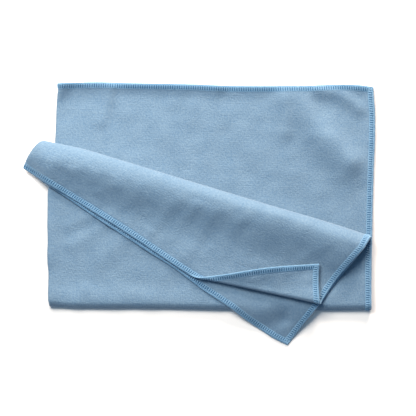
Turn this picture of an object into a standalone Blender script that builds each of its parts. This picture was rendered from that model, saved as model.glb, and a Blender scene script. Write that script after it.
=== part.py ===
"""A microfibre cloth, cut as one rectangle of about 590 x 411 mm and folded in quarters.

The first fold is at the left, the second at the bottom, so the stack has four layers. The upper pair
of layers is then turned back down across the stack in a soft diagonal roll, and the loose corner of
the topmost layer is curled over itself. The cloth is one sheet: it is laid out here as a grid that
runs from the hem of the under side, round the left fold, to the hem of the upper side, and from the
top hem, round both other folds, to the far hem.

Each point of the sheet has a side (UNDER or UPPER, the two halves that meet at the left fold), a
share across (0 at the left fold, 1 at the right hem) and a place along its column. The sheet lies
on z = 0, with the middle of its outline at the origin.
"""

from math import ceil, cos, exp, hypot, pi, sin

import bpy
from mathutils import Vector

# The sheet
HALF_WIDTH = 0.2953
THICKNESS = 0.0010
UNDER = -1
UPPER = 1

# Distances between the middles of layers that lie on each other
LAYER_PITCH = 0.00155
HEM_EXTRA = 0.0003
HEM_REACH = 0.014
FAR_HEM_REACH = 0.12  # as a share of a turned-back column
BEAD_EXTRA = 0.0012
BEAD_REACH = 0.012

# Radii, to the middle between the two layers that bend together
BOTTOM_RADIUS = 0.0026
BOTTOM_PUFF_REACH = 0.020
ROLL_RADIUS_LEFT = 0.0064
ROLL_RADIUS_RIGHT = 0.0076
ROLL_DESCENT_LEFT = 0.032
ROLL_DESCENT_RIGHT = 0.046

# Outline of the lower pair. Share is 0 at the top hem and 1 at the bottom fold.
LOWER_LEFT = (  # share, x
    (0.000, -0.1288),
    (0.030, -0.1290),
    (0.060, -0.1304),
    (0.115, -0.1316),
    (0.240, -0.1321),
    (1.000, -0.1382),
)
LOWER_RIGHT = (  # share, x
    (0.000, 0.1584),
    (0.050, 0.1594),
    (0.120, 0.1604),
    (0.260, 0.1601),
    (0.370, 0.1593),
    (0.660, 0.1583),
    (1.000, 0.1573),
)

# Outline of the whole stack. Share is 0 at the left fold and 1 at the right hem.
TOP_HEM = (  # share, y
    (0.00, 0.1197),
    (0.10, 0.1212),
    (0.22, 0.1204),
    (0.42, 0.1193),
    (0.53, 0.1179),
    (0.78, 0.1178),
    (0.88, 0.1192),
    (0.95, 0.1188),
    (1.00, 0.1166),
)
BOTTOM_FOLD = (  # share, y
    (0.00, -0.0846),
    (0.07, -0.0858),
    (0.32, -0.0863),
    (0.57, -0.0877),
    (0.84, -0.0882),
    (1.00, -0.0877),
)
UPPER_LEFT_X = -0.1388
UPPER_RIGHT_X = 0.1570

# The diagonal roll: the outline of its nose, and the direction of its axis
ROLL_NOSE = (  # x, y
    (-0.160, 0.0738),
    (-0.1405, 0.0690),
    (-0.1100, 0.0614),
    (-0.0770, 0.0510),
    (0.0737, 0.0056),
    (0.1115, -0.0053),
    (0.1508, -0.0179),
    (0.1700, -0.0250),
)
ROLL_AXIS = Vector((0.9568, -0.2907))
ROLL_AHEAD = Vector((0.2907, 0.9568))

# Far hem of the turned-back pair, as it would lie with no corner curled
FAR_HEM_UNDER = (  # share, x, y
    (0.00, -0.1590, 0.0410),
    (1.00, 0.0800, -0.1200),
)
FAR_HEM_UPPER = (  # share, x, y
    (0.00, -0.1590, 0.0410),
    (0.12, -0.1287, 0.0223),
    (0.35, -0.0706, -0.0140),
    (0.575, -0.0149, -0.0514),
    (0.70, 0.0170, -0.0711),
    (0.84, 0.0520, -0.0944),
    (1.00, 0.0934, -0.1170),
)
RIGHT_HEM_BOW = -0.0064
BOW_REACH = 0.30

# At the left end the roll leans out as it comes over, so that its end is a rounded nose
LEAN = Vector((-0.0050, -0.0010))
LEAN_REACH = 0.16

# The curled corner: where its crease leaves the far hem, and the crease's direction
CURL_START = Vector((0.0060, -0.0597))
CURL_CREASE = Vector((0.9785, -0.2064))
CURL_AHEAD = Vector((-0.2064, -0.9785))
CURL_LENGTH = 0.106
CURL_RADIUS_START = 0.0018
CURL_RADIUS_HEM = 0.0050
CURL_RUN_LIMITS = (-0.2, 1.1)
CURL_REST = 0.0020
CURL_DEPTH = 0.034

# Where the turned-back pair hangs past the stack, it droops to just above the surface
DROOP_LEFT_REACH = 0.030
DROOP_BOTTOM_REACH = 0.032
DROOP_CLEARANCE = 0.0004

# Soft ridges and troughs. Each is a line that lifts its layer and all above it.
SWELLS = (  # layer, x0, y0, x1, y1, half width, height
    (2, 0.080, 0.110, 0.150, 0.041, 0.0080, 0.0022),
    (2, 0.104, 0.117, 0.146, 0.116, 0.0065, 0.0018),
    (2, 0.083, 0.101, 0.087, 0.070, 0.0050, -0.0003),
    (2, 0.066, 0.104, 0.072, 0.066, 0.0110, 0.0008),
    (2, -0.128, 0.121, -0.080, 0.121, 0.0050, 0.0012),
    (2, -0.090, 0.108, -0.084, 0.076, 0.0090, 0.0009),
    (2, -0.020, 0.100, 0.030, 0.060, 0.0220, 0.0006),
    (4, -0.105, 0.010, -0.070, -0.010, 0.0090, 0.0007),
    (4, -0.120, -0.072, -0.060, -0.076, 0.0080, 0.0008),
    (4, 0.120, -0.070, 0.145, -0.050, 0.0100, 0.0008),
    (6, -0.120, 0.030, -0.060, 0.010, 0.0120, 0.0007),
    (6, -0.020, -0.030, 0.060, -0.045, 0.0160, 0.0010),
    (6, 0.040, -0.010, 0.100, -0.030, 0.0120, 0.0006),
)
SWELL_START = 0.1  # share of a turned-back column over which its ridges rise

# The middle of the outline that these values give, which becomes the origin
MIDDLE = Vector((-0.0001, 0.0006, 0.0))

# Grid stations
LOWER_STATIONS = (0.0, 0.024, 0.05, 0.08, 0.115, 0.15, 0.19, 0.235, 0.29, 0.36, 0.46, 0.62, 0.81)
UPPER_STATIONS = (0.0, 0.12, 0.3, 0.5, 0.7, 0.87)
BEAD_STATIONS = (0.0, 0.0025, 0.005, 0.0085, 0.013)
BEAD_STEPS = 6
BOTTOM_STEPS = 6
ROLL_STEPS = 8
DESCENT_STEPS = 4
RUN_STEPS = 3
CURL_STEPS = 7
FLAP_STEPS = 3
UNDER_STEP = 0.0165
UPPER_STEP_LEFT = 0.0165
UPPER_STEP_RIGHT = 0.0085
UPPER_STEP_CHANGE = 0.150
HEM_WIDTH = 0.005

LATEST_LANDING = 0.55
CURL_LATEST_START = 0.80
CURL_LATEST_END = 0.93
CROSSING_HALVINGS = 30
BESIDE_FOLD = 0.004


def lerp(start, end, share):
    return start + (end - start) * share


def eased(share):
    """A soft step from 0 to 1 as the share goes from 0 to 1."""
    return 0.5 - 0.5 * cos(pi * min(max(share, 0.0), 1.0))


def slope(rows, i, column):
    low = rows[max(i - 1, 0)]
    high = rows[min(i + 1, len(rows) - 1)]
    return (high[column] - low[column]) / (high[0] - low[0])


def read(rows, at, column=1):
    """The column's value where the first column is at, on a smooth curve through the rows."""
    at = min(max(at, rows[0][0]), rows[-1][0])
    i = max(k for k in range(len(rows) - 1) if rows[k][0] <= at)
    low, high = rows[i], rows[i + 1]
    span = high[0] - low[0]
    f = (at - low[0]) / span
    level = low[column] * (1 + 2 * f) * (1 - f) ** 2 + high[column] * f * f * (3 - 2 * f)
    lean = slope(rows, i, column) * f * (1 - f) ** 2 - slope(rows, i + 1, column) * f * f * (1 - f)
    return level + span * lean


def near(distance, reach):
    """1 at an edge, easing to 0 at its reach."""
    return 1.0 - eased(distance / reach)


def swell(layer, x, y):
    """How far the soft ridges lift this layer at a point of the plan."""
    total = 0.0
    for level, x0, y0, x1, y1, half_width, height in SWELLS:
        if level > layer:
            continue
        along = ((x - x0) * (x1 - x0) + (y - y0) * (y1 - y0)) / ((x1 - x0) ** 2 + (y1 - y0) ** 2)
        along = min(max(along, 0.0), 1.0)
        away = hypot(x - lerp(x0, x1, along), y - lerp(y0, y1, along))
        total += height * exp(-((away / half_width) ** 2))
    return total


def pair_gap(from_fold, from_right, from_hem):
    """Between the two layers of a pair: wider at the bead of the left fold and at the hems."""
    bead = BEAD_EXTRA * near(max(from_fold, 0.0), BEAD_REACH)
    hems = HEM_EXTRA * near(from_right, HEM_REACH) + HEM_EXTRA * near(from_hem, HEM_REACH)
    return LAYER_PITCH + bead + hems


FOLD_NOSE = (LAYER_PITCH + BEAD_EXTRA + THICKNESS) / 2


def half_gap(share):
    """Half the gap of the pair where it bends."""
    return pair_gap(share * HALF_WIDTH, (1 - share) * HALF_WIDTH, 1.0) / 2


def bottom_fold_y(share):
    """Where the bottom fold starts to bend."""
    return read(BOTTOM_FOLD, share) + BOTTOM_RADIUS + half_gap(share) + THICKNESS / 2


def lower_plan(share, down):
    left = read(LOWER_LEFT, down) + FOLD_NOSE
    x = lerp(left, read(LOWER_RIGHT, down), share)
    return x, lerp(read(TOP_HEM, share), bottom_fold_y(share), down)


def upper_x(share):
    return lerp(UPPER_LEFT_X + FOLD_NOSE, UPPER_RIGHT_X, share)


def upper_share(x):
    return (x - UPPER_LEFT_X - FOLD_NOSE) / (UPPER_RIGHT_X - UPPER_LEFT_X - FOLD_NOSE)


def height_2(x, y):
    """Middle of the second layer: the upper half of the lower pair."""
    down = (TOP_HEM[0][1] - y) / (TOP_HEM[0][1] - BOTTOM_FOLD[0][1])
    from_fold = x - read(LOWER_LEFT, down) - FOLD_NOSE
    from_right = read(LOWER_RIGHT, down) - x
    from_hem = read(TOP_HEM, upper_share(x)) - y
    return THICKNESS / 2 + pair_gap(from_fold, from_right, from_hem) + swell(2, x, y)


def height_3(x, y):
    """Middle of the third layer, which puffs up towards the bottom fold."""
    share = min(max(upper_share(x), 0.0), 1.0)
    puffed = 2 * BOTTOM_RADIUS - 2 * half_gap(share)
    rest = LAYER_PITCH + HEM_EXTRA * near(UPPER_RIGHT_X - x, HEM_REACH)
    from_fold = max(y - bottom_fold_y(share), 0.0)
    return height_2(x, y) + lerp(rest, puffed, near(from_fold, BOTTOM_PUFF_REACH))


def height_4(x, y):
    """Middle of the fourth layer, the top of the stack."""
    share = min(max(upper_share(x), 0.0), 1.0)
    return height_3(x, y) + 2 * half_gap(share) + swell(4, x, y) - swell(2, x, y)


def roll_radius(share):
    return lerp(ROLL_RADIUS_LEFT, ROLL_RADIUS_RIGHT, share)


def roll_start(share):
    """Plan point where a column starts to bend up into the roll."""
    reach = roll_radius(share) + half_gap(share) + THICKNESS / 2
    x = upper_x(share)
    return Vector((x, read(ROLL_NOSE, x + ROLL_AHEAD.x * reach) - ROLL_AHEAD.y * reach))


def roll_drift(share, angle):
    """A column crosses the roll at a slant, so it drifts along the roll's axis as it bends."""
    slant = ROLL_AXIS.y / ROLL_AHEAD.y
    lean = LEAN * (near(share, LEAN_REACH) * eased(angle / pi))
    return ROLL_AXIS * (slant * roll_radius(share) * angle) + lean


def turned_plan(side, share, along):
    """Plan point of the turned-back pair: 0 at the roll's crest, 1 at the far hem."""
    crest = roll_start(share) + roll_drift(share, pi)
    hem = FAR_HEM_UPPER if side == UPPER else FAR_HEM_UNDER
    end = Vector((read(hem, share, 1), read(hem, share, 2)))
    bow = RIGHT_HEM_BOW * near(1 - share, BOW_REACH) if side == UPPER else 0.0
    return crest.lerp(end, along) + Vector((4 * along * (1 - along) * bow, 0.0))


def behind_roll(x, y):
    """How far a plan point lies behind the line where the roll starts to bend."""
    share = min(max(upper_share(x), 0.0), 1.0)
    return max((roll_start(share) - Vector((x, y))).dot(ROLL_AHEAD), 0.0)


def height_5(x, y, share, along):
    """Middle of the fifth layer: the under half of the turned-back pair, share and place given."""
    behind = behind_roll(x, y)
    descent = lerp(ROLL_DESCENT_LEFT, ROLL_DESCENT_RIGHT, share)
    crest = 2 * roll_radius(share) - 2 * half_gap(share)
    rest = LAYER_PITCH + HEM_EXTRA * near(1 - along, FAR_HEM_REACH)
    level = height_4(x, y) + lerp(rest, crest, near(behind, descent))
    past_left = eased((UPPER_LEFT_X + FOLD_NOSE - x) / DROOP_LEFT_REACH) * eased(behind / descent)
    fold_y = bottom_fold_y(min(max(upper_share(x), 0.0), 1.0))
    past_bottom = eased((fold_y - y) / DROOP_BOTTOM_REACH)
    droop = 1 - (1 - past_left) * (1 - past_bottom)
    return lerp(level, THICKNESS / 2 + DROOP_CLEARANCE, droop)


def height_6(x, y, share, along):
    """Middle of the sixth layer: the upper half of the turned-back pair."""
    hem = HEM_EXTRA * near(1 - along, FAR_HEM_REACH)
    lift = (swell(6, x, y) - swell(4, x, y)) * eased(along / SWELL_START)
    return height_5(x, y, share, along) + 2 * half_gap(share) + hem + lift


def curl_radius(point):
    run = (point - CURL_START).dot(CURL_CREASE) / CURL_LENGTH
    low, high = CURL_RUN_LIMITS
    return lerp(CURL_RADIUS_START, CURL_RADIUS_HEM, min(max(run, low), high))


def curl_travel(point):
    """How far past the start of the curl's bend a plan point of the uncurled layer lies."""
    return (point - CURL_START).dot(CURL_AHEAD) + curl_radius(point) + THICKNESS / 2


def curled(point, share, along):
    """The point of the topmost layer, bent over the crease if it lies past it."""
    travel = curl_travel(point)
    if travel <= 0:
        return Vector((point.x, point.y, height_6(point.x, point.y, share, along)))
    radius = curl_radius(point)
    angle = min(travel / radius, pi)
    flap = max(travel - pi * radius, 0.0)
    moved = point + CURL_AHEAD * (radius * sin(angle) - flap - travel)
    full = radius * (1 - cos(angle))
    lift = lerp(full, CURL_REST, eased(flap / CURL_DEPTH))
    return Vector((moved.x, moved.y, height_6(moved.x, moved.y, share, along) + lift))


def lower_point(side, share, down):
    x, y = lower_plan(share, down)
    return Vector((x, y, THICKNESS / 2 if side == UNDER else height_2(x, y)))


def bottom_point(side, share, angle):
    """Round the bottom fold: the under half is outside."""
    gap = half_gap(share)
    low_x, y = lower_plan(share, 1.0)
    x = lerp(low_x, upper_x(share), angle / pi)
    radius = BOTTOM_RADIUS - side * gap
    middle = THICKNESS / 2 + gap + BOTTOM_RADIUS + swell(4, x, y) * (1 - cos(angle)) / 2
    return Vector((x, y - radius * sin(angle), middle - radius * cos(angle)))


def upper_point(side, share, up):
    x = upper_x(share)
    y = lerp(bottom_fold_y(share), roll_start(share).y, up)
    return Vector((x, y, height_4(x, y) if side == UNDER else height_3(x, y)))


def roll_point(side, share, angle):
    """Round the diagonal roll: the upper half is outside."""
    gap = half_gap(share)
    radius = roll_radius(share) + side * gap
    plan = roll_start(share) + ROLL_AHEAD * (radius * sin(angle)) + roll_drift(share, angle)
    middle = height_4(plan.x, plan.y) - gap + roll_radius(share)
    return Vector((plan.x, plan.y, middle - radius * cos(angle)))


def turned_point(side, share, along):
    plan = turned_plan(side, share, along)
    if side == UNDER:
        return Vector((plan.x, plan.y, height_5(plan.x, plan.y, share, along)))
    return curled(plan, share, along)


def curl_crossing(share, turns):
    """Place along the upper half's column where the curl has bent by this many half turns."""
    low, high = 0.0, 1.0
    for _ in range(CROSSING_HALVINGS):
        middle = (low + high) / 2
        point = turned_plan(UPPER, share, middle)
        if curl_travel(point) < turns * pi * curl_radius(point):
            low = middle
        else:
            high = middle
    return high


def steps(start, end, count):
    return [lerp(start, end, i / count) for i in range(count)]


def turned_stations(side, share):
    """Places along a turned-back column, closer together where the corner curls."""
    length = (turned_plan(UNDER, share, 1.0) - turned_plan(UNDER, share, 0.0)).length
    descent = lerp(ROLL_DESCENT_LEFT, ROLL_DESCENT_RIGHT, share)
    landing = min(descent / length, LATEST_LANDING)
    start, end = CURL_LATEST_START, CURL_LATEST_END
    if side == UPPER:
        start = min(curl_crossing(share, 0.0), start)
        end = min(curl_crossing(share, 1.0), end)
    run = steps(0.0, landing, DESCENT_STEPS) + steps(landing, start, RUN_STEPS)
    return run + steps(start, end, CURL_STEPS) + steps(end, 1.0, FLAP_STEPS) + [1.0]


def column(side, share):
    """The points of one column, from the top hem to the far hem."""
    points = [lower_point(side, share, down) for down in LOWER_STATIONS]
    points += [bottom_point(side, share, angle) for angle in steps(0.0, pi, BOTTOM_STEPS)]
    points += [upper_point(side, share, up) for up in UPPER_STATIONS]
    points += [roll_point(side, share, angle) for angle in steps(0.0, pi, ROLL_STEPS)]
    points += [turned_point(side, share, along) for along in turned_stations(side, share)]
    return points


def stations_across(step_left, step_right):
    """Shares across one half, from the left fold to the right hem."""
    inner = BEAD_STATIONS[-1]
    last = HALF_WIDTH - HEM_WIDTH
    left = ceil((UPPER_STEP_CHANGE - inner) / step_left)
    right = ceil((last - UPPER_STEP_CHANGE) / step_right)
    run = steps(inner, UPPER_STEP_CHANGE, left) + steps(UPPER_STEP_CHANGE, last, right)
    return [x / HALF_WIDTH for x in (*BEAD_STATIONS[:-1], *run, last, HALF_WIDTH)]


def bead_columns():
    """Columns round the left fold, between the two halves."""
    under, upper = column(UNDER, 0.0), column(UPPER, 0.0)
    beside_under, beside_upper = column(UNDER, BESIDE_FOLD), column(UPPER, BESIDE_FOLD)
    inward = [(a + b) / 2 for a, b in zip(beside_under, beside_upper)]
    columns = []
    for i in range(1, BEAD_STEPS):
        turn = pi * (i / BEAD_STEPS - 0.5)
        points = []
        for a, b, beside in zip(under, upper, inward):
            half = (b - a) / 2
            middle = (a + b) / 2
            outward = (middle - beside).normalized() * half.length
            points.append(middle + half * sin(turn) + outward * cos(turn))
        columns.append(points)
    return columns


def sheet_columns():
    """All columns, from the under half's right hem round the left fold to the upper half's."""
    under = [column(UNDER, share) for share in stations_across(UNDER_STEP, UNDER_STEP)]
    upper = [
        column(UPPER, share) for share in stations_across(UPPER_STEP_LEFT, UPPER_STEP_RIGHT)
    ]
    return under[::-1] + bead_columns() + upper


def cloth_mesh():
    columns = sheet_columns()
    rows = len(columns[0])
    points = [point - MIDDLE for points in columns for point in points]
    faces = []
    for i in range(len(columns) - 1):
        for j in range(rows - 1):
            first = i * rows + j
            faces.append((first, first + 1, first + rows + 1, first + rows))
    mesh = bpy.data.meshes.new("cloth")
    mesh.from_pydata(points, [], faces)
    mesh.validate()
    mesh.update()
    mesh.shade_smooth()
    return mesh


def microfibre():
    material = bpy.data.materials.new("sky_blue_microfibre")
    material.use_nodes = True
    shader = material.node_tree.nodes["Principled BSDF"]
    shader.inputs["Base Color"].default_value = (0.22, 0.38, 0.55, 1.0)
    shader.inputs["Roughness"].default_value = 0.85
    shader.inputs["Metallic"].default_value = 0.0
    return material


def clear_scene():
    for existing in list(bpy.data.objects):
        bpy.data.objects.remove(existing, do_unlink=True)


def add_cloth():
    mesh = cloth_mesh()
    mesh.materials.append(microfibre())
    cloth = bpy.data.objects.new("cloth", mesh)
    bpy.context.scene.collection.objects.link(cloth)
    solidify = cloth.modifiers.new("thickness", "SOLIDIFY")
    solidify.thickness = THICKNESS
    solidify.offset = 0.0
    return cloth


clear_scene()
add_cloth()
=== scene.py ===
from math import cos, pi, sin

import bpy
import numpy as np
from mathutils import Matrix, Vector


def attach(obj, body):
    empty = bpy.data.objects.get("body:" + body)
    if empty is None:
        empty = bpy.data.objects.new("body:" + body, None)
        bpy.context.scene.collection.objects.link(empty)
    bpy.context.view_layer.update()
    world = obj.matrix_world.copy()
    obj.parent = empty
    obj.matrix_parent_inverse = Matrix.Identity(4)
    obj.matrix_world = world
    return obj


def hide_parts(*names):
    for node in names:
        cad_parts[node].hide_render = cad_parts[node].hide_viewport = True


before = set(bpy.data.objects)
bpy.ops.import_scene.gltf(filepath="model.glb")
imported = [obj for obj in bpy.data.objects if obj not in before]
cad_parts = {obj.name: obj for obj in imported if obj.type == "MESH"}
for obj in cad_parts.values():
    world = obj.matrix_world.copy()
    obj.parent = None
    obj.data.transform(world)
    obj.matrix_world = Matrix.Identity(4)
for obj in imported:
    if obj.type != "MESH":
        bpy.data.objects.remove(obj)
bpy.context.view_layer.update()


# ---------------------------------------------------------------------------------------------
# The cloth. One rectangle of warp-knitted microfibre, 590 x 411 mm, brushed to a short pile on
# both faces. It is folded in quarters, its upper pair of layers is turned back down in a soft
# diagonal roll, and the topmost layer's loose corner is curled over. Only folding shapes it.
# ---------------------------------------------------------------------------------------------

# The cut cloth. Its two halves, under and upper, meet at the left fold. A share is a place across
# one half: 0 at the left fold and 1 at the right hem.
HALF_WIDTH = 0.2953
SOLID_THICKNESS = 0.0010
UNDER = -1
UPPER = 1

# Distances between the middles of layers that lie on each other
LAYER_PITCH = 0.00155
HEM_EXTRA = 0.0003
HEM_REACH = 0.014
BEAD_EXTRA = 0.0012
BEAD_REACH = 0.012
PAST_REACH = 1.0  # farther in than any of these
FOLD_NOSE = (LAYER_PITCH + BEAD_EXTRA + SOLID_THICKNESS) / 2

# The bottom fold and the roll, to the middle between the two layers that bend together
BOTTOM_RADIUS = 0.0026
BOTTOM_PUFF_REACH = 0.020
BOTTOM_REACH = 0.0045
BOTTOM_NOSE = (  # share of the turn, outwards, upwards
    (0.000, 0.00, 0.00),
    (0.125, 0.50, 0.03),
    (0.250, 0.86, 0.12),
    (0.375, 1.00, 0.25),
    (0.500, 0.95, 0.42),
    (0.625, 0.80, 0.60),
    (0.750, 0.58, 0.78),
    (0.875, 0.31, 0.93),
    (1.000, 0.00, 1.00),
)
ROLL = (  # share, half height, reach ahead of where it starts, how low its nose lies
    (0.00, 0.0050, 0.0150, 1.1),
    (0.19, 0.0053, 0.0128, 1.2),
    (0.40, 0.0054, 0.0112, 1.5),
    (0.60, 0.0057, 0.0088, 1.9),
    (0.70, 0.0058, 0.0082, 2.1),
    (0.81, 0.0059, 0.0088, 2.1),
    (0.89, 0.0062, 0.0112, 2.1),
    (1.00, 0.0062, 0.0108, 2.0),
)
ROLL_DESCENT_LEFT = 0.034
ROLL_DESCENT_RIGHT = 0.046
DESCENT_SKEW = 0.85

# Past the stack's left edge the roll sags: by what share, over what distance and to what height
SAG = 0.62
SAG_REACH = 0.028
SAG_REST = 0.0024

# Outline of the lower pair. Share is 0 at the top hem and 1 at the bottom fold.
LOWER_LEFT = (  # share, x
    (0.000, -0.1262),
    (0.030, -0.1270),
    (0.060, -0.1288),
    (0.115, -0.1305),
    (0.240, -0.1310),
    (1.000, -0.1370),
)
LOWER_RIGHT = (  # share, x
    (0.000, 0.1584),
    (0.050, 0.1590),
    (0.120, 0.1600),
    (0.260, 0.1598),
    (0.370, 0.1588),
    (0.660, 0.1574),
    (1.000, 0.1564),
)

# Outline of the whole stack. Share is 0 at the left fold and 1 at the right hem.
TOP_HEM = (  # share, y
    (0.00, 0.1190),
    (0.10, 0.1201),
    (0.22, 0.1193),
    (0.42, 0.1182),
    (0.53, 0.1169),
    (0.78, 0.1168),
    (0.88, 0.1180),
    (0.95, 0.1176),
    (1.00, 0.1157),
)
BOTTOM_FOLD = (  # share, y
    (0.00, -0.0846),
    (0.07, -0.0858),
    (0.32, -0.0863),
    (0.57, -0.0877),
    (0.84, -0.0882),
    (1.00, -0.0877),
)
UPPER_LEFT_X = -0.1377
UPPER_RIGHT_X = 0.1562

# The roll in plan: its nose, its axis, the way it faces, and how its left end leans as it turns
ROLL_NOSE = (  # x, y
    (-0.160, 0.0738),
    (-0.1405, 0.0690),
    (-0.1100, 0.0614),
    (-0.0770, 0.0510),
    (0.0737, 0.0056),
    (0.1115, -0.0053),
    (0.1508, -0.0179),
    (0.1700, -0.0250),
)
ROLL_AXIS = np.array((0.9568, -0.2907))
ROLL_AHEAD = np.array((0.2907, 0.9568))
LEAN = np.array((-0.0110, -0.0042))
LEAN_REACH = 0.16

# Far hem of the turned-back pair, as it would lie with no corner curled
FAR_HEM_UNDER = (  # share, x, y
    (0.000, -0.1588, 0.0414),
    (0.060, -0.1446, 0.0312),
    (0.120, -0.1298, 0.0214),
    (0.190, -0.1125, 0.0094),
    (0.278, -0.0906, -0.0055),
    (0.370, -0.0678, -0.0202),
    (0.462, -0.0450, -0.0350),
    (0.552, -0.0222, -0.0497),
    (0.600, -0.0104, -0.0585),
    (0.645, 0.0006, -0.0670),
    (0.690, 0.0092, -0.0728),
    (0.741, 0.0189, -0.0790),
    (0.782, 0.0280, -0.0850),
    (0.843, 0.0418, -0.0956),
    (0.907, 0.0573, -0.1062),
    (0.956, 0.0692, -0.1138),
    (1.000, 0.0802, -0.1190),
)
FAR_HEM_UPPER = (  # share, x, y
    (0.00, -0.1590, 0.0410),
    (0.12, -0.1287, 0.0223),
    (0.35, -0.0706, -0.0140),
    (0.575, -0.0149, -0.0514),
    (0.70, 0.0170, -0.0711),
    (0.84, 0.0520, -0.0944),
    (1.00, 0.0934, -0.1170),
)

# How far the turned-back pair's right hem bows in, and over what share of the width
RIGHT_HEM_BOW = -0.0064
BOW_REACH = 0.30

# How far above the stack the turned-back pair lies
TURNED_REST = 0.00140

# The curled corner: where its crease leaves the far hem, the crease's direction and the way it
# faces, and the curl's radius and slope where it starts and at the right hem
CURL_START = np.array((0.0060, -0.0597))
CURL_CREASE = np.array((0.9785, -0.2064))
CURL_AHEAD = np.array((-0.2064, -0.9785))
CURL_LENGTH = 0.106
CURL_RADIUS_START = 0.0020
CURL_RADIUS_HEM = 0.0033
CURL_RUN_LIMITS = (0.0, 1.1)
CURL_RISE_START = 0.80
CURL_RISE_HEM = -0.22
CURL_FLAT = 0.004

# Where the turned-back pair hangs past the stack, it droops to just above the table
DROOP_LEFT_REACH = 0.023
DROOP_TIP_LEFT = 0.021
DROOP_TIP_RIGHT = 0.037
TIP_LEFT_X = 0.030
TIP_WIDTH = 0.055
DROOP_CLEARANCE = 0.0006

# How far a trough may lower a layer that lies on the stack, past it, or on its own pair
SINK_ON_STACK = 0.0004
SINK_PAST_STACK = 0.03
SINK_ON_PAIR = 0.0001

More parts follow.
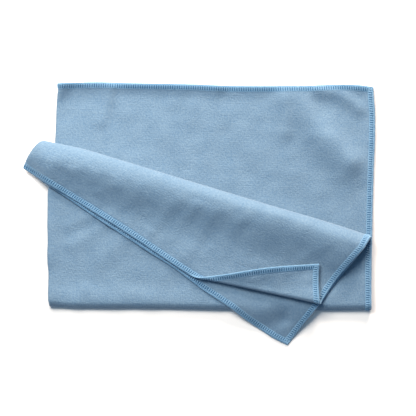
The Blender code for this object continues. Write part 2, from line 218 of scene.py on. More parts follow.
# Soft ridges and troughs. Each is a line that lifts its layer and all above it.
SWELLS = (  # layer, crest line, width on its left, width on its right, height
    # the sharp fold towards the right hem and its troughs
    (2, ((0.0884, 0.1053), (0.1104, 0.0761), (0.1369, 0.0477)), 0.0110, 0.0190, 0.0052),
    (2, ((0.1159, 0.0696), (0.1351, 0.0495)), 0.0110, 0.0150, 0.0024),
    (2, ((0.1067, 0.1127), (0.1214, 0.1108), (0.1351, 0.1062), (0.1452, 0.0971)),
     0.0050, 0.0070, 0.0028),
    (2, ((0.0784, 0.1044), (0.0802, 0.0898), (0.0811, 0.0751)), 0.0036, 0.0120, 0.0022),
    # the rise towards the roll
    (2, ((-0.1458, 0.0495), (-0.0726, 0.0312), (0.1516, -0.0365)), 0.0240, 0.0160, 0.0016),
    (2, ((-0.1275, 0.0422), (-0.0635, 0.0257)), 0.0340, 0.0200, 0.0016),
    # the raised corner, the hem that stands a little proud and the streaks below it
    (2, ((-0.1412, 0.1072), (-0.1147, 0.1282)), 0.0095, 0.0095, 0.0064),
    (2, ((-0.1056, 0.1181), (-0.0452, 0.1172), (0.0189, 0.1154)), 0.0060, 0.0055, 0.002),
    (2, ((0.0189, 0.1154), (0.0921, 0.1154), (0.1543, 0.1145)), 0.0060, 0.0060, 0.001),
    (2, ((0.1570, 0.1090), (0.1580, 0.0587), (0.1570, -0.0237)), 0.0050, 0.0050, 0.001),
    (2, ((-0.0799, 0.1154), (-0.0882, 0.0843)), 0.0046, 0.0070, 0.0026),
    (2, ((-0.0031, 0.1081), (-0.0086, 0.0806)), 0.0050, 0.0050, 0.0006),
    (2, ((-0.0250, 0.1044), (-0.0287, 0.0770)), 0.0050, 0.0050, 0.0004),
    (2, ((-0.0177, 0.0706), (0.0070, 0.0431)), 0.0030, 0.0030, -0.00025),
    (2, ((0.0299, 0.1081), (0.0244, 0.0880)), 0.0060, 0.0060, 0.0007),
    (2, ((0.0537, 0.0495), (0.0921, 0.0331)), 0.0120, 0.0120, 0.0004),
    (2, ((0.1268, 0.0221), (0.1342, -0.0164)), 0.0140, 0.0140, 0.0009),
    # low wrinkles of the upper pair
    (4, ((-0.1376, 0.0166), (-0.1376, -0.0438)), 0.0055, 0.0040, 0.0015),
    (4, ((-0.1202, -0.0109), (-0.0973, -0.0008)), 0.0040, 0.0040, 0.001),
    (4, ((-0.1184, -0.0292), (-0.0891, -0.0136)), 0.0050, 0.0050, 0.0009),
    (4, ((-0.0909, -0.0438), (-0.0671, -0.0237)), 0.0080, 0.0080, 0.001),
    (4, ((-0.1056, -0.0667), (-0.1129, -0.0822)), 0.0070, 0.0030, 0.001),
    (4, ((-0.1275, -0.0713), (-0.1184, -0.0722)), 0.0030, 0.0035, 0.0005),
    (4, ((-0.0946, -0.0713), (-0.0452, -0.0749)), 0.0080, 0.0080, 0.0005),
    (4, ((0.1241, -0.0713), (0.1488, -0.0603)), 0.0080, 0.0080, 0.0007),
    # the drape of the turned-back pair, across the diagonal
    (5, ((-0.1275, 0.0385), (-0.1074, 0.0331)), 0.0060, 0.0080, -0.0009),
    (5, ((-0.1440, 0.0532), (-0.1385, 0.0495)), 0.0040, 0.0040, -0.0006),
    (5, ((-0.0196, 0.0129), (-0.0488, -0.0237)), 0.0050, 0.0080, 0.0007),
    (5, ((-0.0543, 0.0202), (-0.0818, -0.0072)), 0.0050, 0.0070, 0.0006),
    (5, ((0.0171, 0.0038), (-0.0122, -0.0383)), 0.0060, 0.0090, 0.0008),
    (5, ((-0.0012, 0.0093), (-0.0287, -0.0292)), 0.0040, 0.0050, 0.0004),
    (5, ((0.0390, -0.0036), (0.0134, -0.0401)), 0.0050, 0.0060, 0.0005),
    (5, ((0.0628, -0.0072), (0.0372, -0.0401)), 0.0060, 0.0080, 0.0006),
    (5, ((0.1122, -0.0292), (0.0921, -0.0401)), 0.0050, 0.0060, 0.0005),
    (5, ((0.0573, -0.1097), (0.0774, -0.0978)), 0.0090, 0.0042, -0.0044),
    (6, ((-0.1129, 0.0239), (-0.1184, 0.0147)), 0.0035, 0.0035, 0.00045),
    (6, ((-0.0937, 0.0102), (-0.0992, 0.0019)), 0.0035, 0.0040, 0.0005),
    (6, ((-0.0818, 0.0029), (-0.0873, -0.0054)), 0.0035, 0.0040, 0.0004),
    (6, ((-0.0598, -0.0017), (-0.0662, -0.0145)), 0.0040, 0.0050, 0.0005),
    (6, ((-0.0443, -0.0164), (-0.0497, -0.0264)), 0.0035, 0.0040, 0.0005),
    (6, ((-0.0324, -0.0219), (-0.0397, -0.0328)), 0.0040, 0.0045, 0.0004),
    (6, ((-0.0131, -0.0347), (-0.0214, -0.0456)), 0.0040, 0.0045, 0.0004),
    (6, ((0.1195, -0.0438), (0.1323, -0.0511)), 0.0050, 0.0050, 0.0004),
)
SWELL_START = 0.1

# Slow unevenness of cloth that has been handled, and how the waves are shifted and bent
WAVES = (  # turn, length, height
    (0.3, 0.0210, 0.00011),
    (1.7, 0.0270, 0.00014),
    (2.6, 0.0170, 0.00009),
    (0.9, 0.0380, 0.00018),
    (2.1, 0.0460, 0.00020),
    (1.2, 0.0110, 0.00005),
    (2.9, 0.0130, 0.00005),
)
WAVE_SHIFT = 9
BEND_SHIFT = 7
BEND_RATE = 0.37

# The middle of the outline that these values give, which is the origin
MIDDLE = np.array((-0.0001, 0.0006, 0.0))

# Half the cloth's thickness by the distance from its edge: the overlock squeezes it to a welt
WELT = (  # in from the edge, half thickness
    (0.0000, 0.00040),
    (0.0008, 0.00060),
    (0.0016, 0.00062),
    (0.0024, 0.00052),
    (0.0033, 0.00040),
    (0.0042, 0.00032),
    (0.0050, 0.00026),
    (0.0065, 0.00038),
    (0.0080, 0.00038),
)

# How far in the thread covers the cloth, where the cloth turns to the deep hem blue (partly its
# own colour, partly painted shade between the bars), and over what distance that ends
HEM_COVER = 0.0044
HEM_FADE = 0.0008

# The welt lifts the lowest layer's hems off the table
WELT_LIFT = 0.0005
WELT_REACH = 0.010

# Lines of the sheet: how far in from an edge those of the hem lie, and how many the rest has
HEM_LINES = (0.0, 0.0008, 0.0016, 0.0024, 0.0033, 0.0042, 0.0050, 0.0065)
LOWER_LENGTH = 0.205
LOWER_LINES = 58
BOTTOM_LINES = 14
UPPER_LINES = 40
ROLL_LINES = 14
DESCENT_LINES = 14
RUN_LINES = 14
CURL_LINES = 14
FLAP_LINES = 13
ACROSS_LINES = 98
BEAD_LINES = 9
BESIDE_FOLD = 0.004

# Shares of a turned-back column by which it has landed and its curl has started and ended
LATEST_LANDING = 0.55
CURL_LATEST_START = 0.72
CURL_LATEST_END = 0.82
BEFORE_HEM = 0.02
CROSSING_HALVINGS = 30
TINY = 1e-9


def lerp(start, end, share):
    """From start to end as the share goes from 0 to 1."""
    return start + (end - start) * share


def eased(share):
    """A soft step from 0 to 1 as the share goes from 0 to 1."""
    return 0.5 - 0.5 * np.cos(pi * np.clip(share, 0.0, 1.0))


def near(distance, reach):
    """1 at an edge, easing to 0 at its reach."""
    return 1.0 - eased(distance / reach)


def read(rows, at, column=1):
    """The column's value where the first column is at, on a smooth curve through the rows."""
    table = np.array(rows)
    knots, values = table[:, 0], table[:, column]
    before = np.maximum(np.arange(len(knots)) - 1, 0)
    after = np.minimum(np.arange(len(knots)) + 1, len(knots) - 1)
    slopes = (values[after] - values[before]) / (knots[after] - knots[before])
    at = np.clip(at, knots[0], knots[-1])
    i = np.clip(np.searchsorted(knots, at, side="right") - 1, 0, len(knots) - 2)
    span = knots[i + 1] - knots[i]
    f = (at - knots[i]) / span
    level = values[i] * (1 + 2 * f) * (1 - f) ** 2 + values[i + 1] * f * f * (3 - 2 * f)
    lean = slopes[i] * f * (1 - f) ** 2 - slopes[i + 1] * f * f * (1 - f)
    return level + span * lean


def ridge(x, y, crest, left, right):
    """1 on a crest line, falling away with its own width on each side."""
    most = 0.0
    for (x0, y0), (x1, y1) in zip(crest, crest[1:]):
        run_x, run_y = x1 - x0, y1 - y0
        length = (run_x**2 + run_y**2) ** 0.5
        along = np.clip(((x - x0) * run_x + (y - y0) * run_y) / length**2, 0.0, 1.0)
        away_x, away_y = x - lerp(x0, x1, along), y - lerp(y0, y1, along)
        away = np.hypot(away_x, away_y) + TINY
        turned = (run_x * away_y - run_y * away_x) / (length * away)
        most = np.maximum(most, np.exp(-((away / lerp(right, left, (turned + 1) / 2)) ** 2)))
    return most


def waves(layer, x, y):
    """How far the slow waves lift this layer at points of the plan."""
    total = 0.0
    for turn, length, height in WAVES:
        phase = 2 * pi * (x * cos(turn + layer) + y * sin(turn + layer)) / length
        bend = sin(turn * WAVE_SHIFT + layer) + np.sin(BEND_RATE * phase + turn * BEND_SHIFT)
        total = total + height * np.sin(phase + bend)
    return total


def swell(layer, x, y):
    """How far soft ridges and slow waves lift this layer at points of the plan."""
    total = waves(layer, x, y)
    for level, crest, left, right, height in SWELLS:
        if level <= layer:
            total = total + height * ridge(x, y, crest, left, right)
    return total


def pair_gap(from_fold, from_right, from_hem):
    """Between the two layers of a pair: wider at the bead of the left fold and at the hems."""
    bead = BEAD_EXTRA * near(np.maximum(from_fold, 0.0), BEAD_REACH)
    hems = HEM_EXTRA * near(from_right, HEM_REACH) + HEM_EXTRA * near(from_hem, HEM_REACH)
    return LAYER_PITCH + bead + hems


def half_gap(share):
    """Half of the pair's gap, away from the top and far hems."""
    return pair_gap(share * HALF_WIDTH, (1 - share) * HALF_WIDTH, PAST_REACH) / 2


def bottom_fold_y(share):
    """Where the bottom fold starts to bend."""
    return read(BOTTOM_FOLD, share) + BOTTOM_REACH + half_gap(share) + SOLID_THICKNESS / 2


def upper_x(share):
    """Where a column lies in the upper pair."""
    return lerp(UPPER_LEFT_X + FOLD_NOSE, UPPER_RIGHT_X, share)


def upper_share(x):
    """The share whose column lies there in the upper pair."""
    return (x - UPPER_LEFT_X - FOLD_NOSE) / (UPPER_RIGHT_X - UPPER_LEFT_X - FOLD_NOSE)


def from_edges(x, y):
    """How far plan points of the lower pair lie from its left fold, right hem and top hem."""
    down = (TOP_HEM[0][1] - y) / (TOP_HEM[0][1] - BOTTOM_FOLD[0][1])
    from_fold = x - read(LOWER_LEFT, down) - FOLD_NOSE
    return from_fold, read(LOWER_RIGHT, down) - x, read(TOP_HEM, upper_share(x)) - y


def height_1(x, y):
    """Middle of the lowest layer, which its own welt lifts a little at the hems."""
    _, from_right, from_hem = from_edges(x, y)
    return SOLID_THICKNESS / 2 + WELT_LIFT * near(np.minimum(from_right, from_hem), WELT_REACH)


def height_2(x, y):
    """Middle of the second layer: the upper half of the lower pair."""
    return height_1(x, y) + pair_gap(*from_edges(x, y)) + swell(2, x, y)


def height_3(x, y):
    """Middle of the third layer, which puffs up towards the bottom fold."""
    share = np.clip(upper_share(x), 0.0, 1.0)
    puffed = 2 * BOTTOM_RADIUS - 2 * half_gap(share)
    rest = LAYER_PITCH + HEM_EXTRA * near(UPPER_RIGHT_X - x, HEM_REACH)
    from_fold = np.maximum(y - bottom_fold_y(share), 0.0)
    return height_2(x, y) + lerp(rest, puffed, near(from_fold, BOTTOM_PUFF_REACH))


def height_4(x, y):
    """Middle of the fourth layer, the top of the stack."""
    share = np.clip(upper_share(x), 0.0, 1.0)
    lift = np.maximum(swell(4, x, y) - swell(2, x, y), -SINK_ON_STACK)
    return height_3(x, y) + 2 * half_gap(share) + lift


def roll_radius(share):
    """Half the roll's height over the stack."""
    return read(ROLL, share, 1)


def roll_reach(share):
    """How far the roll's nose lies ahead of where the column starts to bend."""
    return read(ROLL, share, 2)


def roll_start(share):
    """Plan points where the columns start to bend up into the roll."""
    reach = roll_reach(share) + half_gap(share) + SOLID_THICKNESS / 2
    x = upper_x(share)
    y = read(ROLL_NOSE, x + ROLL_AHEAD[0] * reach) - ROLL_AHEAD[1] * reach
    return np.stack((x, y), axis=-1)


def roll_drift(share, angle):
    """A column crosses the roll at a slant, so it drifts along the roll's axis as it bends."""
    slant = ROLL_AXIS[1] / ROLL_AHEAD[1]
    rise = eased(angle / pi)
    lean = near(share, LEAN_REACH)[..., None] * np.stack((rise, rise**2), axis=-1) * LEAN
    along = slant * (roll_radius(share) + roll_reach(share)) / 2 * angle
    return along[..., None] * ROLL_AXIS + lean


def turned_plan(side, share, along):
    """Plan points of the turned-back pair: 0 at the roll's crest, 1 at the far hem."""
    crest = roll_start(share) + roll_drift(share, np.full_like(share, pi))
    hem = FAR_HEM_UPPER if side == UPPER else FAR_HEM_UNDER
    end = np.stack((read(hem, share, 1), read(hem, share, 2)), axis=-1)
    plan = crest + (end - crest) * along[..., None]
    if side == UPPER:
        plan[..., 0] += 4 * along * (1 - along) * RIGHT_HEM_BOW * near(1 - share, BOW_REACH)
    return plan


def height_5(x, y, share, along):
    """Middle of the fifth layer: the under half of the turned-back pair, share and place given."""
    below = np.clip(upper_share(x), 0.0, 1.0)
    behind = (roll_start(below) - np.stack((x, y), axis=-1)) @ ROLL_AHEAD
    descent = lerp(ROLL_DESCENT_LEFT, ROLL_DESCENT_RIGHT, share)
    down = np.clip(behind / descent, 0.0, 1.0) ** DESCENT_SKEW
    crest = 2 * roll_radius(share) - 2 * half_gap(share)
    level = height_4(x, y) + lerp(TURNED_REST, crest, near(down, 1.0))
    past_left = eased((UPPER_LEFT_X + FOLD_NOSE - x) / DROOP_LEFT_REACH) * eased(behind / descent)
    tip_reach = lerp(DROOP_TIP_LEFT, DROOP_TIP_RIGHT, np.clip((x - TIP_LEFT_X) / TIP_WIDTH, 0, 1))
    past_bottom = eased((bottom_fold_y(below) - y) / tip_reach)
    droop = 1 - (1 - past_left) * (1 - past_bottom)
    lift = (swell(5, x, y) - swell(4, x, y)) * eased(along / SWELL_START)
    lift = np.maximum(lift, -lerp(SINK_ON_STACK, SINK_PAST_STACK, past_bottom))
    return lerp(level + lift, SOLID_THICKNESS / 2 + DROOP_CLEARANCE, droop)


def height_6(x, y, share, along):
    """Middle of the sixth layer, the upper half of the turned-back pair."""
    lift = (swell(6, x, y) - swell(5, x, y)) * eased(along / SWELL_START)
    lift = np.maximum(lift, -SINK_ON_PAIR)
    return height_5(x, y, share, along) + 2 * half_gap(share) + lift


def curl_run(plan):
    """How far along the crease plan points lie: 0 at its start and 1 at the right hem."""
    run = (plan - CURL_START) @ CURL_CREASE / CURL_LENGTH
    return np.clip(run, *CURL_RUN_LIMITS)


def curl_radius(plan):
    """The curl's radius: tighter where its crease starts than at the right hem."""
    return lerp(CURL_RADIUS_START, CURL_RADIUS_HEM, curl_run(plan))


def curl_travel(plan):
    """How far past the start of the curl's bend plan points of the uncurled layer lie."""
    return (plan - CURL_START) @ CURL_AHEAD + curl_radius(plan) + SOLID_THICKNESS / 2


def curled(plan, share, along):
    """Points of the topmost layer, bent over the crease where they lie past it."""
    travel = np.maximum(curl_travel(plan), 0.0)
    radius = curl_radius(plan)
    angle = np.minimum(travel / radius, pi)
    flap = np.maximum(travel - pi * radius, 0.0)
    moved = plan + (radius * np.sin(angle) - flap - travel)[..., None] * CURL_AHEAD
    slope = lerp(CURL_RISE_START, CURL_RISE_HEM, curl_run(plan))
    lift = radius * (1 - np.cos(angle)) + slope * flap**2 / (flap + CURL_FLAT)
    x, y = moved[..., 0], moved[..., 1]
    return np.stack((x, y, height_6(x, y, share, along) + lift), axis=-1)


def curl_crossing(share, turns):
    """Place along the upper half's columns where the curl has bent by this many half turns."""
    low, high = np.zeros_like(share), np.ones_like(share)
    for _ in range(CROSSING_HALVINGS):
        middle = (low + high) / 2
        plan = turned_plan(UPPER, share, middle)
        before = curl_travel(plan) < turns * pi * curl_radius(plan)
        low, high = np.where(before, middle, low), np.where(before, high, middle)
    return high


def steps(start, end, count):
    """Rows of even places from start up to end, which may differ from column to column."""
    shares = np.arange(count) / count
    return lerp(np.asarray(start), np.asarray(end), shares.reshape(-1, *[1] * np.ndim(start)))


def lower_rows(side, share):
    """Down the lower pair, from the top hem to the bottom fold."""
    down = np.concatenate((
        np.array(HEM_LINES[:-1]) / LOWER_LENGTH,
        steps(HEM_LINES[-1] / LOWER_LENGTH, 1.0, LOWER_LINES),
    ))[:, None]
    left = read(LOWER_LEFT, down) + FOLD_NOSE
    x = lerp(left, read(LOWER_RIGHT, down), share)
    y = lerp(read(TOP_HEM, share), bottom_fold_y(share), down)
    z = height_1(x, y) if side == UNDER else height_2(x, y)
    return np.stack((x, y, z), axis=-1)


def bottom_rows(side, share):
    """Round the bottom fold: the under half is outside."""
    angle = steps(0.0, pi, BOTTOM_LINES)[:, None]
    out, up = read(BOTTOM_NOSE, angle / pi, 1), read(BOTTOM_NOSE, angle / pi, 2)
    gap = half_gap(share)
    low_x = lerp(LOWER_LEFT[-1][1] + FOLD_NOSE, LOWER_RIGHT[-1][1], share)
    x = lerp(low_x, upper_x(share), angle / pi)
    y = bottom_fold_y(share)
    lift = swell(4, x, y) * (1 - np.cos(angle)) / 2
    lift = lift + WELT_LIFT * near((1 - share) * HALF_WIDTH, WELT_REACH)
    z = SOLID_THICKNESS / 2 + gap + side * gap + 2 * (BOTTOM_RADIUS - side * gap) * up + lift
    return np.stack((x, y - (BOTTOM_REACH - side * gap) * out, z), axis=-1)


def upper_rows(side, share):
    """Back up the upper pair, from the bottom fold to the roll: the upper half is now below."""
    up = steps(0.0, 1.0, UPPER_LINES)[:, None]
    x = upper_x(share) + 0 * up
    y = lerp(bottom_fold_y(share), roll_start(share)[..., 1], up)
    z = height_4(x, y) if side == UNDER else height_3(x, y)
    return np.stack((x, y, z), axis=-1)


def roll_rows(side, share):
    """Round the diagonal roll, which is wider than high: the upper half is outside."""
    angle = steps(0.0, pi, ROLL_LINES)[:, None] + 0 * share
    gap = half_gap(share)
    radius, reach, low = (read(ROLL, share, column) for column in (1, 2, 3))
    rise = (1 - np.cos(angle)) / 2
    up = 2 * radius * rise**low
    turn_out = reach * np.cos(angle)
    turn_up = radius * low * rise ** (low - 1) * np.sin(angle)
    turn = np.hypot(turn_out, turn_up)
    out = reach * np.sin(angle) + side * gap * turn_up / turn
    plan = roll_start(share) + out[..., None] * ROLL_AHEAD + roll_drift(share, angle)
    x, y = plan[..., 0], plan[..., 1]
    offset = -side * gap * turn_out / turn
    z = height_4(x, y) - gap + up + offset
    return np.stack((x, y, sagged(x, z, offset)), axis=-1)


def sagged(x, z, offset):
    """Past the stack's left edge nothing holds the pair up, so its middle sags to the table."""
    past = eased((UPPER_LEFT_X + FOLD_NOSE - x) / SAG_REACH)
    return lerp(z - offset, SAG_REST, SAG * past) + offset


def turned_rows(side, share):
    """Down the turned-back pair, with lines closer together where the corner curls."""
    along = turned_places(side, share)
    plan = turned_plan(side, share, along)
    x, y = plan[..., 0], plan[..., 1]
    if side == UPPER:
        points = curled(plan, share, along)
    else:
        points = np.stack((x, y, height_5(x, y, share, along)), axis=-1)
    points[..., 2] = sagged(points[..., 0], points[..., 2], side * half_gap(share))
    return points


def turned_places(side, share):
    """Places along the turned-back columns: the descent, the run, the curl, the flap, the hem."""
    ends = turned_plan(UNDER, share, np.ones_like(share)) - turned_plan(UNDER, share, 0 * share)
    length = np.hypot(ends[..., 0], ends[..., 1])
    hem = 1 - np.array(HEM_LINES)[::-1, None] / length
    descent = lerp(ROLL_DESCENT_LEFT, ROLL_DESCENT_RIGHT, share)
    landing = np.minimum(descent / length, LATEST_LANDING)
    start = np.full_like(share, CURL_LATEST_START)
    end = np.minimum(CURL_LATEST_END, hem[0] - BEFORE_HEM)
    if side == UPPER:
        start = np.minimum(curl_crossing(share, 0.0), start)
        end = np.minimum(curl_crossing(share, 1.0), end)
    return np.concatenate((
        steps(0 * share, landing, DESCENT_LINES),
        steps(landing, start, RUN_LINES),
        steps(start, end, CURL_LINES),
        steps(end, hem[0], FLAP_LINES),
        hem,
    ))


def half_sheet(side, share):
    """The points of one half, as rows from the top hem to the far hem."""
    pieces = (lower_rows, bottom_rows, upper_rows, roll_rows, turned_rows)
    return np.concatenate([rows(side, share) for rows in pieces])


def bead(under, upper):
    """Columns round the left fold, between the two halves' first columns."""
    beside = np.array([BESIDE_FOLD])
    inward = (half_sheet(UNDER, beside) + half_sheet(UPPER, beside))[:, 0] / 2
    half = (upper - under) / 2
    middle = (upper + under) / 2
    outward = middle - inward
    outward /= np.linalg.norm(outward, axis=1, keepdims=True)
    outward *= np.linalg.norm(half, axis=1, keepdims=True)
    turns = pi * (np.arange(1, BEAD_LINES) / BEAD_LINES - 0.5)
    return np.stack([middle + half * sin(t) + outward * cos(t) for t in turns], axis=1)


def whole_sheet():
    """Rows and columns of the sheet, from the under half's right hem to the upper half's."""
    hem = 1 - np.array(HEM_LINES)[::-1] / HALF_WIDTH
    share = np.concatenate((steps(0.0, hem[0], ACROSS_LINES), hem))
    under, upper = half_sheet(UNDER, share), half_sheet(UPPER, share)
    fold = bead(under[:, 0], upper[:, 0])
    across = share * HALF_WIDTH
    places = np.concatenate((-across[::-1], np.zeros(BEAD_LINES - 1), across)) + HALF_WIDTH
    return np.concatenate((under[:, ::-1], fold, upper), axis=1) - MIDDLE, places


def grid_normals(grid):
    """Which way the sheet faces at its points."""
    normals = np.cross(np.gradient(grid, axis=1), np.gradient(grid, axis=0))
    return normals / np.linalg.norm(normals, axis=2, keepdims=True)


def run_lengths(grid, axis):
    """Distance along the rows or columns from their first point."""
    spans = np.linalg.norm(np.diff(grid, axis=axis), axis=2)
    return np.insert(np.cumsum(spans, axis=axis), 0, 0.0, axis=axis)


def linear(hex_colour):
    """An sRGB hex colour as the linear values that a shader takes."""
    values = [int(hex_colour[i : i + 2], 16) / 255 for i in (1, 3, 5)]
    bent = [v / 12.92 if v <= 0.04045 else ((v + 0.055) / 1.055) ** 2.4 for v in values]
    return (*bent, 1.0)


def add_node(tree, kind, settings=(), inputs=(), links=()):
    """A node with its settings, input values and links from (input, other node, output)."""
    node = tree.nodes.new("ShaderNode" + kind)
    for name, value in settings:
        setattr(node, name, value)
    for name, value in inputs:
        node.inputs[name].default_value = value
    for name, source, output in links:
        tree.links.new(source.outputs[output], node.inputs[name])
    return node


sheet_grid, across_places = whole_sheet()
down_places = run_lengths(sheet_grid, 0)
row_count, column_count = sheet_grid.shape[:2]
corners = np.arange(row_count * column_count).reshape(row_count, column_count)
quads = np.stack(
    (corners[:-1, :-1], corners[1:, :-1], corners[1:, 1:], corners[:-1, 1:]), axis=-1
).reshape(-1, 4)
cloth_mesh = bpy.data.meshes.new("microfibre_cloth")
cloth_mesh.from_pydata(sheet_grid.reshape(-1, 3).tolist(), [], quads.tolist())
weave_map = cloth_mesh.uv_layers.new(name="weave")
flat_places = np.stack((np.broadcast_to(across_places, down_places.shape), down_places), axis=-1)
weave_map.data.foreach_set("uv", flat_places.reshape(-1, 2)[quads.ravel()].ravel())
cloth_mesh.shade_smooth()
cloth = bpy.data.objects.new("microfibre_cloth", cloth_mesh)
bpy.context.scene.collection.objects.link(cloth)
edge_across = np.minimum(across_places, across_places[-1] - across_places)
edge_down = np.minimum(down_places, down_places[-1] - down_places)
from_edge = np.minimum(edge_across, edge_down).ravel()
# Where the cloth takes the deep hem blue: partly the squeezed knit's own colour, partly painted
# shade between the thread bars
hem_blue_and_shade_mask = cloth_mesh.attributes.new("hem_blue_and_shade_mask", "FLOAT", "POINT")
hem_blue_and_shade_mask.data.foreach_set("value", near(from_edge - HEM_COVER, HEM_FADE))
welt = cloth.vertex_groups.new(name="welt")
most = max(half for _, half in WELT)
for vertex, half in enumerate(read(WELT, from_edge)):
    welt.add([vertex], half / most, "REPLACE")
thickness = cloth.modifiers.new("thickness", "SOLIDIFY")
thickness.thickness = 2 * most
thickness.offset = 0.0
thickness.vertex_group = "welt"

# Microfibre: polyester and polyamide, rough with a soft sheen from the brushed pile. The knit's
# loops are 0.5 mm apart, which is finer than the render shows, so they are drawn at 1.5 mm.
CLOTH_PALE = "#6f8ba1"
CLOTH_DEEP = "#527491"
# The deep blue under the hem's threads is partly the squeezed knit's own colour and partly painted
# shade between the bars
HEM_BLUE_AND_SHADE = "#27597f"
SHEEN_TINT = "#d4dbe1"
LOOP_PITCH = 0.0015
LOOPS_DOWN = 0.8  # for each loop across
FUZZ_SCALE = 0.9  # in loops: tufts of pile, 1.7 mm
BRUSHED_SCALE = 0.12  # in loops: brushed patches, 12 mm
BRUSHED_SHARE = 0.25
LOOP_SINK = -0.5
DEEP_AT = 0.38
PALE_AT = 0.86
RELIEF = 0.0007
microfibre = bpy.data.materials.new("brushed_microfibre")
microfibre.use_nodes = True
tree = microfibre.node_tree
shader = tree.nodes["Principled BSDF"]
shader.inputs["Roughness"].default_value = 0.85
shader.inputs["IOR"].default_value = 1.5
shader.inputs["Sheen Weight"].default_value = 0.34
shader.inputs["Sheen Tint"].default_value = linear(SHEEN_TINT)
shader.inputs["Sheen Roughness"].default_value = 0.5
flat_place = add_node(tree, "UVMap", [("uv_map", "weave")])
knit = add_node(
    tree, "VectorMath", [("operation", "MULTIPLY")],
    [(1, (1 / LOOP_PITCH, LOOPS_DOWN / LOOP_PITCH, 1.0))], [(0, flat_place, "UV")],
)
loops = add_node(
    tree, "TexVoronoi", [("feature", "SMOOTH_F1"), ("voronoi_dimensions", "2D")],
    [("Scale", 1.0), ("Randomness", 0.7), ("Smoothness", 0.4)], [("Vector", knit, "Vector")],
)
fuzz = add_node(
    tree, "TexNoise", [("noise_dimensions", "2D")],
    [("Scale", FUZZ_SCALE), ("Detail", 3.0), ("Roughness", 0.8)], [("Vector", knit, "Vector")],
)
brushed = add_node(
    tree, "TexNoise", [("noise_dimensions", "2D")],
    [("Scale", BRUSHED_SCALE), ("Detail", 3.0), ("Roughness", 0.6)],
    [("Vector", knit, "Vector")],
)
depth = add_node(
    tree, "Math", [("operation", "MULTIPLY_ADD")],
    [(1, LOOP_SINK)], [(0, loops, "Distance"), (2, fuzz, "Fac")],
)
pile = add_node(
    tree, "Math", [("operation", "MULTIPLY_ADD")],
    [(1, BRUSHED_SHARE)], [(0, brushed, "Fac"), (2, fuzz, "Fac")],
)
paleness = add_node(
    tree, "MapRange", [],
    [("From Min", DEEP_AT), ("From Max", PALE_AT)], [("Value", pile, "Value")],
)
blue = add_node(
    tree, "Mix", [("data_type", "RGBA")],
    [(6, linear(CLOTH_DEEP)), (7, linear(CLOTH_PALE))], [(0, paleness, "Result")],
)
# Under the hem's threads the blue turns deeper: partly the knit's own colour, partly painted shade
# between the bars
hem_shade_share = add_node(tree, "Attribute", [("attribute_name", "hem_blue_and_shade_mask")])
hem_blue_and_shade = add_node(
    tree, "Mix", [("data_type", "RGBA")],
    [(7, linear(HEM_BLUE_AND_SHADE))], [(0, hem_shade_share, "Fac"), (6, blue, 2)],
)
bump = add_node(
    tree, "Bump", [], [("Strength", 0.6), ("Distance", RELIEF)], [("Height", depth, "Value")]
)
tree.links.new(hem_blue_and_shade.outputs[2], shader.inputs["Base Color"])
tree.links.new(bump.outputs["Normal"], shader.inputs["Normal"])
cloth_mesh.materials.append(microfibre)


# ---------------------------------------------------------------------------------------------
# The overlock hem. Spun polyester thread is sewn over all four edges every 2.1 mm: bars across
# both faces, turns of the loopers' thread round the edge, and the needle's row 5 mm in. It
# follows the cloth's own edge lines, so it lies on every fold as sewn.
# ---------------------------------------------------------------------------------------------

STITCH_PITCH = 0.0021
HEM_WIDTH = 0.0050
BAR_RADIUS = 0.00030
BAR_RISE = 0.00006
BAR_SPREAD = 0.30
BAR_LEG = (  # in from the edge, rise above the cloth in BAR_RISE
    (HEM_WIDTH, -0.6),
    (0.0042, 1.0),
    (0.0030, 1.0),
    (0.0016, 1.0),
)
WRAP_RADIUS = 0.00042
WRAP_INWARD = 0.0021
WRAP_TURNS = 2
WRAP_STEPS = 6
WRAP_SINK = WRAP_RADIUS / 3
NEEDLE_RADIUS = 0.00022
NEEDLE_RISE = 0.00006
NEEDLE_SPAN = 0.5


def edge_band(lines, normals, start, step):
    """Hem lines from the edge inwards, each with its points and face directions."""
    picks = [start + step * k for k in range(len(HEM_LINES))]
    return lines[picks], normals[picks]


def on_band(band, at, inward):
    """Points and face directions at places along the edge and depths in from it."""
    lines, normals = band
    length = run_lengths(lines[:1], 1)[0]
    place = np.interp(at, length, np.arange(len(length)))
    i = np.clip(place.astype(int), 0, len(length) - 2)
    f = (place - i)[:, None]
    k = np.clip(np.searchsorted(HEM_LINES, inward, side="right") - 1, 0, len(HEM_LINES) - 2)
    depths = np.array(HEM_LINES)
    g = ((inward - depths[k]) / (depths[k + 1] - depths[k]))[:, None]
    first = lerp(curve_at(lines, k, i, f), curve_at(lines, k + 1, i, f), g)
    face = lerp(normals[k, i], normals[k, i + 1], f)
    return first, face / np.linalg.norm(face, axis=1, keepdims=True)


def curve_at(lines, k, i, f):
    """A smooth curve through a hem line's points."""
    last = lines.shape[1] - 1
    a, b, c, d = (lines[k, np.clip(i + n, 0, last)] for n in (-1, 0, 1, 2))
    bend = (2 * a - 5 * b + 4 * c - d) * f + (3 * (b - c) + d - a) * f * f
    return b + 0.5 * f * (c - a + bend)


def sewn_path(band, stitch):
    """The path of a thread that repeats a stitch: rows of along, in from the edge, height."""
    length = run_lengths(band[0][:1], 1)[0, -1]
    count = int(round(length / STITCH_PITCH))
    pattern = np.array(stitch)
    at = ((np.arange(count)[:, None] + pattern[:, 0]) * (length / count)).ravel()
    inward = np.tile(pattern[:, 1], count)
    height = np.tile(pattern[:, 2], count)
    points, face = on_band(band, np.clip(at, 0, length), inward)
    return points + face * height[:, None]


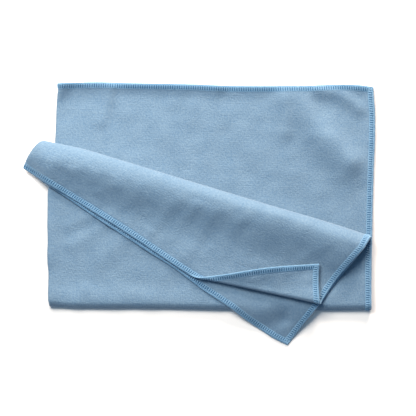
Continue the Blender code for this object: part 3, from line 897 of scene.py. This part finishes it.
def add_thread(name, paths, radius, sides):
    """One piece of thread, as a round tube along each path."""
    line = bpy.data.curves.new(name, "CURVE")
    line.dimensions = "3D"
    line.bevel_depth = radius
    line.bevel_resolution = sides // 2 - 2
    line.use_fill_caps = True
    for path in paths:
        spline = line.splines.new("POLY")
        spline.points.add(len(path) - 1)
        spline.points.foreach_set("co", np.insert(path, 3, 1.0, axis=1).ravel())
    thread = bpy.data.objects.new(name, line)
    bpy.context.scene.collection.objects.link(thread)
    bpy.ops.object.select_all(action="DESELECT")
    thread.select_set(True)
    bpy.context.view_layer.objects.active = thread
    bpy.ops.object.convert(target="MESH")
    bpy.ops.object.shade_smooth()
    return thread


sheet_normals = grid_normals(sheet_grid)
by_column = (np.swapaxes(sheet_grid, 0, 1), np.swapaxes(sheet_normals, 0, 1))
by_row = (sheet_grid, sheet_normals)
bands = [
    edge_band(*by_row, 0, 1),
    edge_band(*by_row, row_count - 1, -1),
    edge_band(*by_column, 0, 1),
    edge_band(*by_column, column_count - 1, -1),
]


def half_welt(inward):
    """Half the cloth's thickness at this distance in from its edge."""
    return float(read(WELT, inward))


def bar_stitch(face):
    """A hairpin of thread from the needle's row to the edge and back, on one face of the cloth."""
    out = [(0.0, d, face * (half_welt(d) + rise * BAR_RISE)) for d, rise in BAR_LEG]
    return out + [(BAR_SPREAD, d, h) for _, d, h in out[::-1]]


def wrap_stitch():
    """Turns of thread round the outer part of the welt."""
    centre = (WRAP_INWARD - WRAP_RADIUS) / 2
    reach = centre + WRAP_RADIUS / 2
    path = []
    for i in range(WRAP_TURNS * WRAP_STEPS):
        turn = 2 * pi * i / WRAP_STEPS
        inward = centre - reach * cos(turn)
        height = (half_welt(max(inward, 0.0)) - WRAP_SINK) * sin(turn)
        path.append((i / (WRAP_TURNS * WRAP_STEPS), inward, height))
    return path


def needle_row(face):
    """The needle's stitches: the thread dips into the cloth between them."""
    high = half_welt(HEM_WIDTH) + NEEDLE_RISE
    low = high - NEEDLE_RADIUS
    return [(0.0, HEM_WIDTH, face * low), (NEEDLE_SPAN, HEM_WIDTH, face * high)]


bars = add_thread(
    "overlock_bars",
    [sewn_path(band, bar_stitch(face)) for band in bands for face in (1, -1)],
    BAR_RADIUS,
    sides=4,
)
edge_wrap = add_thread(
    "overlock_edge_wrap",
    [sewn_path(band, wrap_stitch()) for band in bands],
    WRAP_RADIUS,
    sides=6,
)
needle_rows = add_thread(
    "needle_rows",
    [sewn_path(band, needle_row(face)) for band in bands for face in (1, -1)],
    NEEDLE_RADIUS,
    sides=4,
)

# Spun polyester sewing thread: smoother than the pile, with a faint gloss and a fibrous mottle
THREAD_DEEP = "#5d8fb3"
THREAD_PALE = "#88b2ce"
MOTTLE_SCALE = 900.0  # per metre: patches of 1 mm
polyester = bpy.data.materials.new("spun_polyester_thread")
polyester.use_nodes = True
tree = polyester.node_tree
shader = tree.nodes["Principled BSDF"]
shader.inputs["Roughness"].default_value = 0.5
shader.inputs["IOR"].default_value = 1.55
shader.inputs["Sheen Weight"].default_value = 0.2
place = add_node(tree, "TexCoord")
mottle = add_node(
    tree, "TexNoise", [],
    [("Scale", MOTTLE_SCALE), ("Detail", 2.0)], [("Vector", place, "Object")],
)
thread_blue = add_node(
    tree, "Mix", [("data_type", "RGBA")],
    [(6, linear(THREAD_DEEP)), (7, linear(THREAD_PALE))], [(0, mottle, "Fac")],
)
tree.links.new(thread_blue.outputs[2], shader.inputs["Base Color"])

hems = [bars, edge_wrap, needle_rows]
for hem in hems:
    hem.data.materials.append(polyester)
    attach(hem, "root")
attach(cloth, "root")
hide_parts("cloth")


# ---------------------------------------------------------------------------------------------
# The studio: a white table in a room with dim, cool light. A warm softbox low beyond the top hem
# rakes over the folds, and a nearer one stands higher, to the left. The camera looks down.
# ---------------------------------------------------------------------------------------------

TABLE_SIZE = 6.0
TABLE_WHITE = "#f8f7f4"
CAMERA_HEIGHT = 1.3
VIEW_WIDTH = 0.3806
VIEW_CENTRE = (0.00797, 0.00498)
SENSOR_WIDTH = 36.0
NEAREST = 0.01
SOFTBOXES = (  # name, turn to the left of the top, rise, distance, size, watts, colour
    ("raking_softbox", -0.22, 0.36, 1.6, 0.6, 39.3, (1.22, 1.0, 0.84)),
    ("left_softbox", 0.54, 0.90, 0.9, 0.45, 10.8, (1.08, 1.0, 0.92)),
)
ROOM_LIGHT = 0.24
ROOM_COLOUR = (0.66, 0.96, 1.32, 1.0)

# White laminated board with a matt face, so it shows no reflection of the cloth
bpy.ops.mesh.primitive_plane_add(size=TABLE_SIZE, location=(0.0, 0.0, 0.0))
floor = bpy.context.object
floor.name = "floor"
white = bpy.data.materials.new("matt_white_board")
white.use_nodes = True
shader = white.node_tree.nodes["Principled BSDF"]
shader.inputs["Base Color"].default_value = linear(TABLE_WHITE)
shader.inputs["Roughness"].default_value = 0.9
floor.data.materials.append(white)

for name, turn, rise, distance, size, watts, colour in SOFTBOXES:
    softbox = bpy.data.objects.new(name, bpy.data.lights.new(name, "AREA"))
    softbox.data.size = size
    softbox.data.energy = watts
    softbox.data.color = colour
    aim = Vector((-sin(turn) * cos(rise), cos(turn) * cos(rise), sin(rise)))
    softbox.location = aim * distance
    softbox.rotation_euler = aim.to_track_quat("Z", "Y").to_euler()
    bpy.context.scene.collection.objects.link(softbox)

room = bpy.data.worlds.new("white_room")
room.use_nodes = True
background = room.node_tree.nodes["Background"]
background.inputs["Color"].default_value = ROOM_COLOUR
background.inputs["Strength"].default_value = ROOM_LIGHT
bpy.context.scene.world = room

camera = bpy.data.objects.new("camera", bpy.data.cameras.new("camera"))
camera.data.sensor_width = SENSOR_WIDTH
camera.data.lens = SENSOR_WIDTH * CAMERA_HEIGHT / VIEW_WIDTH
camera.data.clip_start = NEAREST
camera.location = (*VIEW_CENTRE, CAMERA_HEIGHT)
bpy.context.scene.collection.objects.link(camera)
bpy.context.scene.camera = camera
bpy.context.scene.view_settings.view_transform = "Standard"
